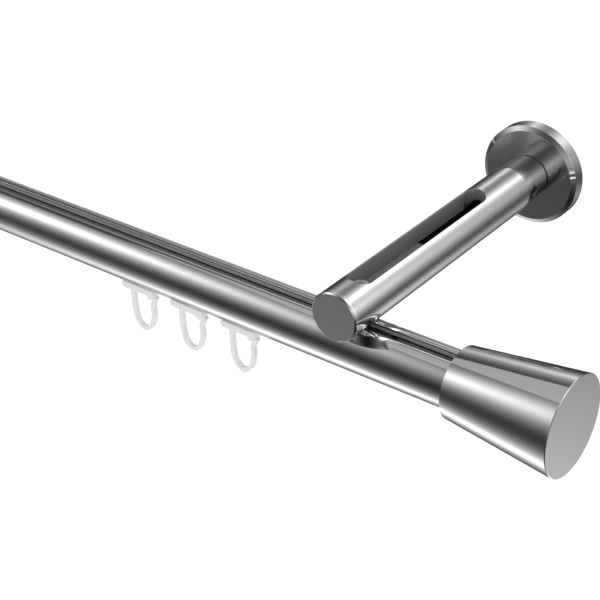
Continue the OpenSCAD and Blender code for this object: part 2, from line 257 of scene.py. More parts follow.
def make_floor():
    """A pale floor, which the metal doesn't mirror."""
    mesh = bpy.data.meshes.new("floor")
    shape = bmesh.new()
    bmesh.ops.create_grid(shape, x_segments=1, y_segments=1, size=FLOOR_SIZE)
    shape.to_mesh(mesh)
    shape.free()
    floor = bpy.data.objects.new("floor", mesh)
    bpy.context.scene.collection.objects.link(floor)
    floor.location = (0, 0, -FLOOR_DROP)
    material = bpy.data.materials.new("pale_floor")
    material.use_nodes = True
    shader = material.node_tree.nodes["Principled BSDF"]
    for name, value in FLOOR_FINISH.items():
        shader.inputs[name].default_value = value
    mesh.materials.append(material)
    floor.visible_glossy = False


# Effects that the finishes share

def make_drawn_lines():
    """Fine lines that run along one direction, as drawing, turning and polishing leave them."""
    tree, given, result = new_tree(
        "drawn_lines", "ShaderNodeTree", {"Vector": "Vector", "Along": "Vector", "Lines per metre": "Float"},
        {"Lines": "Float"})
    stretched = vector_math(tree, "MULTIPLY", given["Vector"], given["Along"])
    noise = add_node(tree, "ShaderNodeTexNoise", Vector=stretched, Scale=given["Lines per metre"],
                     Detail=3.0, Roughness=0.6)
    link(tree, noise.outputs["Fac"], result["Lines"])
    return tree


def make_handling_haze():
    """Soft clouds of a slightly duller surface, where hands and cloths have touched it."""
    tree, given, result = new_tree(
        "handling_haze", "ShaderNodeTree", {"Vector": "Vector", "Size": "Float"}, {"Haze": "Float"})
    scale = math_node(tree, "DIVIDE", 1.0, given["Size"])
    noise = add_node(tree, "ShaderNodeTexNoise", Vector=given["Vector"], Scale=scale, Detail=4.0)
    clouds = add_node(tree, "ShaderNodeMapRange", Value=noise.outputs["Fac"], From_Min=0.45, From_Max=0.75)
    link(tree, clouds.outputs["Result"], result["Haze"])
    return tree


def make_cast_grain():
    """The pebbled skin of a casting or a moulding, and the few darker specks in it."""
    tree, given, result = new_tree(
        "cast_grain", "ShaderNodeTree", {"Vector": "Vector", "Size": "Float"},
        {"Height": "Float", "Specks": "Float"})
    pebble_height = 0.5
    scale = math_node(tree, "DIVIDE", 1.0, given["Size"])
    noise = add_node(tree, "ShaderNodeTexNoise", Vector=given["Vector"], Scale=scale, Detail=2.0)
    cells = add_node(tree, "ShaderNodeTexVoronoi", Vector=given["Vector"], Scale=scale)
    pebbles = math_node(tree, "MULTIPLY", cells.outputs["Distance"], pebble_height)
    link(tree, math_node(tree, "ADD", noise.outputs["Fac"], pebbles), result["Height"])
    specks = add_node(tree, "ShaderNodeMapRange", Value=noise.outputs["Fac"], From_Min=0.62, From_Max=0.75)
    link(tree, specks.outputs["Result"], result["Specks"])
    return tree


DRAWN_LINES = make_drawn_lines()
HANDLING_HAZE = make_handling_haze()
CAST_GRAIN = make_cast_grain()


# Finishes

# Colours of the surfaces that aren't polished
MILLED_COLOUR = (0.21, 0.21, 0.21)
GROOVE_COLOUR = (0.48, 0.48, 0.49)
# Near black, painted shade: it stands for the shade deep in the arm's bore and under the rod's groove lips
PAINTED_SHADE_COLOUR = (0.01, 0.01, 0.01)
# Millimetres by which a finish's limit clears the surfaces beside it
SKIN, FACE_SKIN, HAIR = 0.2, 0.1, 0.05
# The rod is plain up to this far out from its axis, and its groove gets painted shade, a near-black colour,
# above this height
PLAIN_R, GROOVE_SHADE_LOW = 8.25, 4.4
# How little the lines of a drawn piece change along it, against across it
LINE_STRETCH = 0.01


def place_on(tree):
    """Where a point lies in the part, for a pattern to follow."""
    return tree.nodes.new("ShaderNodeTexCoord").outputs["Object"]


def new_material(name):
    """A material with its shader, its tree and its place on the piece."""
    material = bpy.data.materials.new(name)
    material.use_nodes = True
    tree = material.node_tree
    return material, tree.nodes["Principled BSDF"], tree, place_on(tree)


def effect(tree, group, **inputs):
    """A shared effect placed in a material, with its own values."""
    return add_node(tree, "ShaderNodeGroup", {"node_tree": group}, **inputs)


def mixed(tree, mask, low, high):
    """A number that goes from low to high with a mask."""
    return add_node(tree, "ShaderNodeMapRange", Value=mask, To_Min=low, To_Max=high).outputs["Result"]


# Places of a Mix node's sockets: its two values and its result
MIX_SOCKETS = {"FLOAT": (2, 3, 0), "RGBA": (6, 7, 2)}


def blended(tree, kind, mask, first, second):
    """A number (FLOAT) or a colour (RGBA) that goes from the first to the second with a mask."""
    node = add_node(tree, "ShaderNodeMix", {"data_type": kind})
    *places, result = MIX_SOCKETS[kind]
    link(tree, mask, node.inputs[0])
    for place, value in zip(places, (first, second)):
        fill(tree, node.inputs[place], value)
    return node.outputs[result]


def mixed_colour(tree, mask, low, high):
    return blended(tree, "RGBA", mask, (*low, 1), (*high, 1))


def times(colour, *shares):
    """A colour made darker, by one share or by one for each of its parts."""
    return tuple(part * share for part, share in zip(colour, shares * 3))


def bump(tree, shader, height, strength, depth):
    """Raises the surface by a pattern; its depth is in millimetres."""
    node = add_node(tree, "ShaderNodeBump", Height=height, Strength=strength, Distance=depth * MM)
    link(tree, node.outputs[0], shader.inputs["Normal"])


def along_and_out(tree, place, line):
    """How a point lies about a centre line: a vector of how far along and out, how far out, and how high.

    The line is "arm", along Y through the middle of either bracket, or "rod", along X through the rod."""
    split = add_node(tree, "ShaderNodeSeparateXYZ", Vector=place)
    if line == "arm":
        # The two brackets are laid over each other, by the distance from the middle between them
        half = LEFT_X / 2 * MM
        from_middle = math_node(tree, "ABSOLUTE", math_node(tree, "SUBTRACT", split.outputs["X"], half))
        side = math_node(tree, "ADD", from_middle, half)
        along, height = split.outputs["Y"], split.outputs["Z"]
    else:
        along = split.outputs["X"]
        side = math_node(tree, "SUBTRACT", split.outputs["Y"], ROD_Y * MM)
        height = math_node(tree, "SUBTRACT", split.outputs["Z"], ROD_Z * MM)
    squares = math_node(tree, "ADD", math_node(tree, "POWER", side, 2), math_node(tree, "POWER", height, 2))
    out = math_node(tree, "SQRT", squares)
    return add_node(tree, "ShaderNodeCombineXYZ", X=along, Y=out).outputs[0], out, height


def below(tree, value, edge, softness=0.05):
    """A mask that is one below an edge, in millimetres."""
    mask = add_node(tree, "ShaderNodeMapRange", Value=value, From_Min=(edge - softness) * MM,
                    From_Max=(edge + softness) * MM, To_Min=1.0, To_Max=0.0)
    return mask.outputs["Result"]


def both(tree, first, second):
    """A mask that is one where both masks are."""
    return math_node(tree, "MULTIPLY", first, second)


def chrome(name, line=None, drawn=(1, 1, 1), roughness=0.035, shine=0.8):
    """Bright plating: its polishing lines run along a drawn piece, or round a turned one's line."""
    material, shader, tree, place = new_material(name)
    lined = place if line is None else along_and_out(tree, place, line)[0]
    lines = effect(tree, DRAWN_LINES, Vector=lined, Along=drawn, Lines_per_metre=6000.0).outputs["Lines"]
    haze = effect(tree, HANDLING_HAZE, Vector=place, Size=25 * MM).outputs["Haze"]
    bright, duller = (shine,) * 3, 0.03
    hazed = times(bright, 0.97, 0.97, 0.975)
    dull = mixed(tree, math_node(tree, "ADD", haze, lines), roughness, roughness + duller)
    shader.inputs["Metallic"].default_value = 1
    link(tree, mixed_colour(tree, haze, bright, hazed), shader.inputs["Base Color"])
    link(tree, dull, shader.inputs["Roughness"])
    bump(tree, shader, lines, strength=0.015, depth=0.02)
    return material


def change_inside(material, mask, socket, value):
    """Inside a mask, a number or colour of the shader takes another value."""
    tree = material.node_tree
    target = tree.nodes["Principled BSDF"].inputs[socket]
    kind = "RGBA" if socket == "Base Color" else "FLOAT"
    before = target.links[0].from_socket if target.links else target.default_value
    link(tree, blended(tree, kind, mask, before, value), target)


def inner_finish(material, mask, colour, roughness=0.5, metallic=0.3):
    """Gives the surfaces inside a mask a plain cut finish in place of the plating; with a near-black colour
    it paints shade there instead.
    """
    tree = material.node_tree
    grain = effect(tree, CAST_GRAIN, Vector=place_on(tree), Size=0.6 * MM)
    cut = mixed_colour(tree, grain.outputs["Specks"], colour, times(colour, 0.85))
    change_inside(material, mask, "Base Color", cut)
    change_inside(material, mask, "Roughness", roughness)
    change_inside(material, mask, "Metallic", metallic)


def satin_faced_chrome(name, face, roughness):
    """The rosette's plating: bright on rim and chamfer, and satin on its face towards the room.

    The face is given by its distance from the wall, in millimetres."""
    material = chrome(name, "arm", roughness=0.04)
    tree = material.node_tree
    split = add_node(tree, "ShaderNodeSeparateXYZ", Vector=place_on(tree))
    change_inside(material, below(tree, split.outputs["Y"], FACE_SKIN - face), "Roughness", roughness)
    return material


def slotted_chrome(name):
    """The arm's chrome: bright outside, milled and unpolished in its slots, and unplated in its bore, which
    is coloured near black as painted shade.
    """
    material = chrome(name, drawn=(1, LINE_STRETCH, 1))
    tree = material.node_tree
    _, out, height = along_and_out(tree, place_on(tree), "arm")
    inner_finish(material, below(tree, out, ARM_R - SKIN), MILLED_COLOUR)
    # Painted shade: the bore below the slot's floor is coloured near black
    bore_shade = both(tree, below(tree, out, BORE_R + SKIN), below(tree, height, SLOT_LOW - HAIR))
    inner_finish(material, bore_shade, PAINTED_SHADE_COLOUR)
    return material


def grooved_chrome(name):
    """The rod's chrome: bright outside, plain inside its channels, and painted near black under the groove's
    lips, as painted shade.
    """
    material = chrome(name, drawn=(LINE_STRETCH, 1, 1))
    tree = material.node_tree
    _, out, height = along_and_out(tree, place_on(tree), "rod")
    inside = below(tree, out, PLAIN_R)
    inner_finish(material, inside, GROOVE_COLOUR, roughness=0.4, metallic=0.25)
    # Painted shade: under the groove's lips, above this height, the channel is coloured near black
    shade_under_lips = both(tree, inside, below(tree, height, GROOVE_ROOF_Z + HAIR))
    above_floor = math_node(tree, "SUBTRACT", 1.0, below(tree, height, GROOVE_SHADE_LOW))
    inner_finish(material, both(tree, shade_under_lips, above_floor), PAINTED_SHADE_COLOUR)
    return material


def turned_steel(name, colour, worn):
    """Steel of the screws, with fine turning marks."""
    material, shader, tree, place = new_material(name)
    turning = (1, 1, 0.2)
    lines = effect(tree, DRAWN_LINES, Vector=place, Along=turning, Lines_per_metre=5000.0).outputs["Lines"]
    haze = effect(tree, HANDLING_HAZE, Vector=place, Size=3 * MM).outputs["Haze"]
    shader.inputs["Metallic"].default_value = 1
    link(tree, mixed_colour(tree, haze, colour, worn), shader.inputs["Base Color"])
    link(tree, mixed(tree, lines, 0.2, 0.38), shader.inputs["Roughness"])
    bump(tree, shader, lines, strength=0.25, depth=0.03)
    return material


def cast_zinc(name, colour):
    """Bare zinc casting, satin grey and pebbled."""
    material, shader, tree, place = new_material(name)
    grain = effect(tree, CAST_GRAIN, Vector=place, Size=0.5 * MM)
    haze = effect(tree, HANDLING_HAZE, Vector=place, Size=6 * MM).outputs["Haze"]
    shader.inputs["Metallic"].default_value = 1
    specked = mixed_colour(tree, grain.outputs["Specks"], colour, times(colour, 0.7))
    link(tree, specked, shader.inputs["Base Color"])
    link(tree, mixed(tree, haze, 0.35, 0.5), shader.inputs["Roughness"])
    bump(tree, shader, grain.outputs["Height"], strength=0.35, depth=0.08)
    return material


def moulded_plastic(name, colour, hazed_colour, roughness):
    """White moulded plastic that lets a little light in, with the mould's fine grain."""
    material, shader, tree, place = new_material(name)
    grain = effect(tree, CAST_GRAIN, Vector=place, Size=0.3 * MM)
    haze = effect(tree, HANDLING_HAZE, Vector=place, Size=4 * MM).outputs["Haze"]
    light_depth, duller = 2, 0.12
    link(tree, mixed_colour(tree, haze, colour, hazed_colour), shader.inputs["Base Color"])
    link(tree, mixed(tree, haze, roughness, roughness + duller), shader.inputs["Roughness"])
    shader.inputs["Subsurface Weight"].default_value = 0.5
    shader.inputs["Subsurface Radius"].default_value = (light_depth * MM,) * 3
    bump(tree, shader, grain.outputs["Height"], strength=0.15, depth=0.04)
    return material


ROD_CHROME = grooved_chrome("rod_chrome")
ARM_CHROME = slotted_chrome("arm_chrome")
CAP_CHROME = chrome("cap_chrome", "arm", roughness=0.08, shine=0.95)
ROSETTE_CHROME = satin_faced_chrome("rosette_chrome", -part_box("right_rosette")[0].y / MM, 0.15)
HUB_CHROME = chrome("hub_chrome", "arm", roughness=0.16, shine=0.52)
FINIAL_CHROME = chrome("finial_chrome", "rod")
STEEL = turned_steel("zinc_plated_steel", (0.62, 0.62, 0.57), (0.5, 0.49, 0.45))
BLACK_STEEL = turned_steel("black_steel", (0.14, 0.14, 0.14), (0.2, 0.2, 0.2))
ZINC = cast_zinc("zinc_casting", (0.52, 0.52, 0.53))
# The slot nut's dark steel, coloured darker still as painted shade for the arm's shadow over it in the groove
SHADED_NUT_STEEL = cast_zinc("nut_steel_painted_shade", (0.1, 0.09, 0.07))
PLASTIC = moulded_plastic("white_plastic", (0.8, 0.8, 0.8), (0.77, 0.77, 0.77), 0.4)
CUTTER = bpy.data.materials.new("cutter")
SLOT_MATERIAL = {"steel_screw": STEEL, "zinc": ZINC, "stop_plastic": PLASTIC, "glider_plastic": PLASTIC}


# Shapes. Outlines and sizes are in millimetres; meshes are in metres.

def rounded(corners, steps=5):
    """Points and outward normals of a closed outline, run so that its inside lies to the left.

    A corner is (x, y, rounding). Rounding 0 is a point on a smooth stretch, and None one on a lathe's
    axis."""
    points = []
    for index, (x, y, radius) in enumerate(corners):
        here = Vector((x, y))
        arriving = (here - Vector(corners[index - 1][:2])).normalized()
        leaving = (Vector(corners[(index + 1) % len(corners)][:2]) - here).normalized()
        before, after = Vector((arriving.y, -arriving.x)), Vector((leaving.y, -leaving.x))
        if radius is None:
            points.append((here, before if abs(before.y) < abs(after.y) else after))
            continue
        if radius == 0:
            points.append((here, (before + after).normalized()))
            continue
        half_turn = math.acos(max(-1, min(1, arriving.dot(leaving)))) / 2
        outer = 1 if arriving.x * leaving.y - arriving.y * leaving.x > 0 else -1
        centre = here - arriving * radius * math.tan(half_turn) - before * radius * outer
        for step in range(steps + 1):
            normal = before.slerp(after, step / steps)
            points.append((centre + normal * radius * outer, normal))
    return points


def arc(centre, radius, start, end, step=3):
    """Smooth outline points on an arc, its angles in degrees, without the two end points."""
    count = max(2, round(abs(end - start) / step))
    angles = [math.radians(start + (end - start) * index / count) for index in range(1, count)]
    return [(centre[0] + radius * math.cos(a), centre[1] + radius * math.sin(a), 0) for a in angles]


def new_piece(name, vertices, faces, normals, material):
    """A mesh object at the origin, from points in millimetres, with its own normals."""
    mesh = bpy.data.meshes.new(name)
    mesh.from_pydata([Vector(vertex) * MM for vertex in vertices], [], faces)
    mesh.materials.append(material)
    mesh.shade_smooth()
    if normals:
        mesh.normals_split_custom_set_from_vertices(normals)
    piece = bpy.data.objects.new(name, mesh)
    bpy.context.scene.collection.objects.link(piece)
    return piece


def frame_of(axis):
    """An axis and two directions square to it."""
    axis = Vector(axis)
    side = Vector(UP if abs(axis.z) < 0.5 else WALL)
    return axis, side, axis.cross(side)


def lathe(name, corners, centre, axis, material, turns=160):
    """A turned piece. Its closed outline holds (along, out, rounding), with its inside to the left."""
    axis, side, third = frame_of(axis)
    vertices, normals, faces, rings = [], [], [], []
    for point, normal in rounded(corners):
        ring = []
        for turn in range(1 if point.y == 0 else turns):
            angle = math.tau * turn / turns
            out = side * math.cos(angle) + third * math.sin(angle)
            ring.append(len(vertices))
            vertices.append(Vector(centre) + axis * point.x + out * point.y)
            normals.append((axis * normal.x + out * normal.y).normalized())
        rings.append(ring)
    for first, second in zip(rings, rings[1:] + rings[:1]):
        for turn in range(turns):
            after = (turn + 1) % turns
            if len(first) > 1 and len(second) > 1:
                faces.append((first[turn], second[turn], second[after], first[after]))
            elif len(first) > 1:
                faces.append((first[turn], second[0], first[after]))
            elif len(second) > 1:
                faces.append((first[0], second[turn], second[after]))
    return new_piece(name, vertices, faces, normals, material)


def bar(name, corners, start, end, axes, material, rim=0.2, steps=4):
    """An outline drawn out from start to end, with rounded rims at both ends.

    axes holds where the outline's zero lies, its two directions, and the direction of the run."""
    centre, across, up, along = (Vector(part) for part in axes)
    outline = rounded(corners)
    rings = []
    for step in range(steps + 1):
        lean = math.pi / 2 * step / steps
        back, out = math.cos(lean), math.sin(lean)
        rings.append((start + rim * (1 - back), rim * (1 - out), -back, out))
    rings += [(start + end - place, inset, -back, out) for place, inset, back, out in reversed(rings)]
    vertices, normals, faces = [], [], []
    for distance, inset, back, out in rings:
        for point, normal in outline:
            spot = point - normal * inset
            vertices.append(centre + across * spot.x + up * spot.y + along * distance)
            normals.append((across * normal.x + up * normal.y) * out + along * back)
    count = len(outline)
    flip = across.cross(up).dot(along) < 0
    for ring in range(len(rings) - 1):
        for index in range(count):
            after = (index + 1) % count
            low, high = ring * count, (ring + 1) * count
            faces.append((low + index, low + after, high + after, high + index))
    faces.append(tuple(range(count - 1, -1, -1)))
    faces.append(tuple(range(count * (len(rings) - 1), count * len(rings))))
    if flip:
        faces = [tuple(reversed(face)) for face in faces]
    return new_piece(name, vertices, faces, normals, material)


# True surfaces. Each gives its distance from a point and its outward normal there, so that a cut piece
# shades as the smooth form that it stands for.

def outline_form(corners):
    """A closed outline, as the distance of a flat point from it and the outline's normal there."""
    outline = rounded(corners)
    spans = list(zip(outline, outline[1:] + outline[:1]))

    def form(flat):
        best = (math.inf, None)
        for (first, first_normal), (second, second_normal) in spans:
            run = second - first
            part = max(0, min(1, (flat - first).dot(run) / run.length_squared)) if run.length_squared else 0
            distance = (flat - first - run * part).length
            if distance < best[0]:
                best = (distance, first_normal.lerp(second_normal, part))
        return best
    return form


def lathe_form(corners, centre, axis):
    """The turned surface of an outline."""
    centre, axis = Vector(centre), Vector(axis)
    outline = outline_form(corners)

    def form(place):
        offset = place - centre
        along = offset.dot(axis)
        out = offset - axis * along
        distance, normal = outline(Vector((along, out.length)))
        out.normalize()
        return distance, (axis * normal.x + out * normal.y).normalized()
    return form


def bar_form(corners, axes):
    """The long faces of a bar."""
    centre, across, up, _ = (Vector(part) for part in axes)
    outline = outline_form(corners)

    def form(place):
        offset = place - centre
        distance, normal = outline(Vector((offset.dot(across), offset.dot(up))))
        return distance, (across * normal.x + up * normal.y).normalized()
    return form


def slot_form(first, last, axis, radius):
    """The wall of a hole or of a slot with round ends, seen from inside it."""
    first, last, axis = Vector(first), Vector(last), Vector(axis)
    run = last - first

    def form(place):
        offset = place - first
        offset -= axis * offset.dot(axis)
        part = max(0, min(1, offset.dot(run) / run.length_squared)) if run.length_squared else 0
        out = offset - run * part
        return abs(out.length - radius), -out.normalized()
    return form


def inside_out(form):
    """A surface as it is seen from inside, where it is the wall of a hole."""
    def inner(place):
        distance, normal = form(place)
        return distance, -normal
    return inner


def slot_cutter(first, last, axis, radius, depth, turns=96):
    """A prism with round ends that cuts a slot, or a hole where both ends are one."""
    axis, side, third = frame_of(axis)
    first, last = Vector(first), Vector(last)
    forward = (last - first).normalized() if first != last else side
    ring = []
    for turn in range(turns):
        angle = math.tau * (turn + 0.5) / turns
        out = side * math.cos(angle) + third * math.sin(angle)
        ring.append((last if out.dot(forward) > 0 else first) + out * radius)
    vertices = ring + [place + axis * depth for place in ring]
    faces = [(turn, (turn + 1) % turns, turns + (turn + 1) % turns, turns + turn) for turn in range(turns)]
    faces += [tuple(range(turns - 1, -1, -1)), tuple(range(turns, 2 * turns))]
    cutter = new_piece("cutter", vertices, faces, None, CUTTER)
    shape = bmesh.new()
    shape.from_mesh(cutter.data)
    bmesh.ops.recalc_face_normals(shape, faces=shape.faces)
    shape.to_mesh(cutter.data)
    shape.free()
    return cutter


def finish(piece, modifiers=()):
    """Puts a piece's modifiers into its mesh."""
    for kind, settings in modifiers:
        modifier = piece.modifiers.new(kind.lower(), kind)
        for name, value in settings.items():
            setattr(modifier, name, value)
    graph = bpy.context.evaluated_depsgraph_get()
    mesh = bpy.data.meshes.new_from_object(piece.evaluated_get(graph))
    piece.modifiers.clear()
    piece.data = mesh
    return piece


def grown(name, vertices, edges, tree, values, attributes=None):
    """A mesh line in millimetres, grown by a geometry tree into a plain mesh."""
    mesh = bpy.data.meshes.new(name)
    mesh.from_pydata([Vector(vertex) * MM for vertex in vertices], edges, [])
    for label, (kind, data) in (attributes or {}).items():
        layer = mesh.attributes.new(label, kind, "POINT")
        layer.data.foreach_set("vector" if kind == "FLOAT_VECTOR" else "value", data)
    piece = bpy.data.objects.new(name, mesh)
    bpy.context.scene.collection.objects.link(piece)
    modifier = piece.modifiers.new("growth", "NODES")
    modifier.node_group = tree
    for socket in tree.interface.items_tree:
        if socket.name in values:
            modifier[socket.identifier] = values[socket.name]
    return finish(piece)


# A carved piece's materials: its own, and the one that marks its rounded edges until they have their normals
OWN_FACE, EDGE_FACE = 0, 1
# Millimetres within which a vertex lies on a true surface, and within which cut vertices are one
ON_SURFACE, WELDED = 0.01, 0.005
# Faces that turn by more than this many degrees meet in an edge
EDGE_TURN = 40
# Millimetres by which a cutter begins before a piece or reaches past it
PAST = 1


def set_true_normals(mesh, forms):
    """Gives each face corner its surface's normal, and a rounded edge the normals of the faces beside it."""
    near_forms = []
    for vertex in mesh.vertices:
        found = [form(vertex.co / MM) for form in forms]
        near_forms.append([normal for distance, normal in found if distance < ON_SURFACE])
    alike = 0.8
    vertex_normal = {}
    corner_normals = [None] * len(mesh.loops)
    for face in mesh.polygons:
        if face.material_index == EDGE_FACE:
            continue
        for corner in face.loop_indices:
            vertex = mesh.loops[corner].vertex_index
            near = [normal for normal in near_forms[vertex] if normal.dot(face.normal) > alike]
            normal = max(near, key=face.normal.dot) if near else Vector(face.normal)
            corner_normals[corner] = normal
            vertex_normal.setdefault(vertex, normal)
    for face in mesh.polygons:
        if face.material_index == EDGE_FACE:
            for corner in face.loop_indices:
                vertex = mesh.loops[corner].vertex_index
                corner_normals[corner] = vertex_normal.get(vertex, Vector(mesh.vertices[vertex].normal))
            face.material_index = OWN_FACE
    mesh.normals_split_custom_set(corner_normals)


def carve(piece, forms, cutters, edge=0.15):
    """Cuts cutters out of a piece, rounds the new edges, and sets the normals of its true surfaces."""
    piece.data.materials.append(CUTTER)
    cuts = [("BOOLEAN", {"object": cutter, "solver": "EXACT"}) for cutter in cutters]
    weld = ("WELD", {"merge_threshold": WELDED * MM})
    bevel = ("BEVEL", {
        "width": edge * MM, "segments": 2, "limit_method": "ANGLE", "angle_limit": math.radians(EDGE_TURN),
        "material": EDGE_FACE, "use_clamp_overlap": False
    })
    finish(piece, cuts + [weld, bevel])
    for cutter in cutters:
        bpy.data.objects.remove(cutter)
    piece.data.shade_smooth()
    set_true_normals(piece.data, forms)
    piece.data.materials.pop(index=EDGE_FACE)


def drill(piece, form, start, axis, radius, depth):
    """A round hole in a piece that has one true surface, from a start along an axis."""
    forms = [form, slot_form(start, start, axis, radius)]
    carve(piece, forms, [slot_cutter(start, start, axis, radius, depth)])


def merged(name, pieces, material):
    """Several meshes as one piece, each corner with the normal that it had."""
    vertices, faces, normals = [], [], []
    for piece in pieces:
        mesh, first = piece.data, len(vertices)
        vertices += [vertex.co / MM for vertex in mesh.vertices]
        for face in mesh.polygons:
            faces.append([first + vertex for vertex in face.vertices])
            normals += [mesh.corner_normals[corner].vector.copy() for corner in face.loop_indices]
        bpy.data.objects.remove(piece)
    whole = new_piece(name, vertices, faces, None, material)
    whole.data.normals_split_custom_set(normals)
    return whole


def place_piece(piece, node):
    """The piece stands for a CAD node and rides on its body."""
    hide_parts(node)
    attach(piece, BODY_OF[node])


# Pieces of one side

class Side:
    """One end of the part: places of the right one, or their mirror images on the left one."""

    def __init__(self, name):
        self.name = name
        self.bracket_x, self.mirror = (0, 1) if name == "right" else (LEFT_X, -1)

    def spot(self, x, y, z):
        return Vector((self.bracket_x + self.mirror * x, y, z))

    def out(self):
        """The direction along the rod, away from its middle."""
        return Vector((self.mirror, 0, 0))

    def node(self, part):
        return f"{self.name}_{part}"

    def span(self, part, axis):
        """Lowest and highest place of a CAD node along an axis, as on the right side."""
        low, high = (corner[axis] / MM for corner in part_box(self.node(part)))
        if axis == X:
            low, high = sorted(self.mirror * (place - self.bracket_x) for place in (low, high))
        return low, high

    def middle(self, part, axis):
        return sum(self.span(part, axis)) / 2

    def from_wall(self, part):
        """How far from the wall a CAD node begins and ends."""
        low, high = self.span(part, Y)
        return -high, -low

    def along_rod(self, part):
        """Where a CAD node begins and ends along X."""
        return sorted(self.spot(place, 0, 0).x for place in self.span(part, X))

    def place(self, piece, part, slot):
        place_piece(piece, self.node(part))


def make_rosette(side):
    """The wall disc: hollow behind, with a chamfer round its face."""
    _, face = side.from_wall("rosette")
    radius = side.span("rosette", Z)[1]
    hollow, hollow_r = 3.2, 17.3
    chamfer_in, chamfer_back = 1.8, 1
    corners = [
        (hollow, NECK_BORE_R, 0.1), (face, NECK_BORE_R, 0.12), (face, radius - chamfer_in, 0.1),
        (face - chamfer_back, radius, 0.1), (0, radius, 0.2), (0, hollow_r, 0.1), (hollow, hollow_r, 0.3)
    ]
    piece = lathe(side.node("rosette_skin"), corners, side.spot(0, 0, 0), ROOM, ROSETTE_CHROME, turns=240)
    side.place(piece, "rosette", "chrome_disc")


def make_hub(side):
    """The neck between disc and arm: a seam against the disc, a spigot in the arm, and a screw hole."""
    _, end = side.from_wall("hub")
    radius = side.span("hub", Z)[1]
    rosette_face, arm_back, bore_end, screw_y = 6.25, 20.5, 19.2, 15.8
    seam_w, seam_depth, wall = 0.45, 0.6, 6
    seam_end, seam_r = rosette_face + seam_w, radius - seam_depth
    corners = [
        (bore_end, 0, None), (end, 0, None), (end, SPIGOT_R, 0.3), (arm_back, SPIGOT_R, 0.1),
        (arm_back, radius, 0.25), (seam_end, radius, 0.12), (seam_end, seam_r, 0.05),
        (rosette_face, seam_r, 0.1), (rosette_face, NECK_BORE_R, 0.1), (bore_end, NECK_BORE_R, 0.2)
    ]
    centre = side.spot(0, 0, 0)
    piece = lathe(side.node("hub_skin"), corners, centre, ROOM, HUB_CHROME)
    in_bore = side.spot(NECK_BORE_R - PAST, -screw_y, 0)
    drill(piece, lathe_form(corners, centre, ROOM), in_bore, side.out(), GRUB_HOLE_R, wall)
    side.place(piece, "hub", "chrome_hub")


def make_arm(side):
    """The arm: a tube with a wide slot down to above its axis, and a narrow one through its underside."""
    start, end = side.from_wall("arm_tube")
    smooth_from = 0.5
    corners = [
        (start, BORE_R, 0.2), (end, BORE_R, 0.2), (end, ARM_R, 0.06), (end - smooth_from, ARM_R, 0),
        (start + smooth_from, ARM_R, 0), (start, ARM_R, 0.15)
    ]
    centre, wide_far = side.spot(0, 0, 0), CLAMP_Y - 0.2
    wide = [side.spot(0, -SLOT_NEAR, SLOT_LOW), side.spot(0, -wide_far, SLOT_LOW), UP, SLOT_R]
    narrow = [side.spot(0, -SCREW_SLOT_NEAR, 0), side.spot(0, -CLAMP_Y, 0), DOWN, SCREW_SLOT_R]
    piece = lathe(side.node("arm_skin"), corners, centre, ROOM, ARM_CHROME, turns=200)
    carve(piece, [lathe_form(corners, centre, ROOM), slot_form(*wide), slot_form(*narrow)],
          [slot_cutter(*wide, ARM_R), slot_cutter(*narrow, ARM_R + PAST)])
    side.place(piece, "arm_tube", "chrome_arm")


def make_end_cap(side):
    """The chamfered disc that closes the arm, with its plug."""
    start, end = side.from_wall("end_cap")
    thickness, hollow_r, chamfer = 2, 3.1, 0.5
    seat = end - thickness
    corners = [
        (seat, 0, None), (end, 0, None), (end, ARM_R - chamfer, 0.08), (end - chamfer, ARM_R, 0.08),
        (seat, ARM_R, 0.04), (seat, SPIGOT_R, 0.1), (start, SPIGOT_R, 0.3), (start, hollow_r, 0.1),
        (seat, hollow_r, 0.1)
    ]
    piece = lathe(side.node("end_cap_skin"), corners, side.spot(0, 0, 0), ROOM, CAP_CHROME, turns=200)
    side.place(piece, "end_cap", "chrome_cap")


def make_finial(side):
    """The cone on the rod's end, wider towards its flat end, with a socket and a grub screw hole behind."""
    start, end = side.span("finial", X)
    length, big_r, small_r = end - start, side.span("finial", Z)[1] - ROD_Z, 12.7
    screw_in, wall = 9, 8
    corners = [
        (FINIAL_SOCKET, 0, None), (length, 0, None), (length, big_r, 0.3), (0, small_r, 0.3),
        (0, SOCKET_R, 0.15), (FINIAL_SOCKET, SOCKET_R, 0.2)
    ]
    centre = side.spot(start, ROD_Y, ROD_Z)
    piece = lathe(side.node("finial_skin"), corners, centre, side.out(), FINIAL_CHROME, turns=240)
    in_socket = side.spot(start + screw_in, ROD_Y + SOCKET_R - PAST, ROD_Z)
    drill(piece, lathe_form(corners, centre, side.out()), in_socket, WALL, GRUB_HOLE_R, wall)
    side.place(piece, "finial", "chrome_finial")


def turned_screw(name, tip, axis, outline, socket_w, socket_depth, steel, edge=0.05):
    """A turned screw with a hexagon socket; the outline runs from its head back to its tip."""
    tip, axis = Vector(tip), Vector(axis)
    high = max(corner[0] for corner in outline)
    corners = [(0, 0, None), (high, 0, None)] + outline
    piece = lathe(name, corners, tip, axis, steel, turns=96)
    floor = tip + axis * (high - socket_depth)
    hexagon = slot_cutter(floor, floor, axis, socket_w / math.sqrt(3), socket_depth + PAST, turns=6)
    carve(piece, [lathe_form(corners, tip, axis)], [hexagon], edge)
    return piece


def thread(start, end, radius, pitch=0.7, depth=0.2):
    """Outline points of a thread's crests and roots, from its end back to its start."""
    count = int((end - start) / pitch)
    corners = []
    for turn in range(count, 0, -1):
        crest = start + turn * pitch
        corners += [(crest, radius - depth, 0), (crest - pitch / 2, radius, 0)]
    return corners


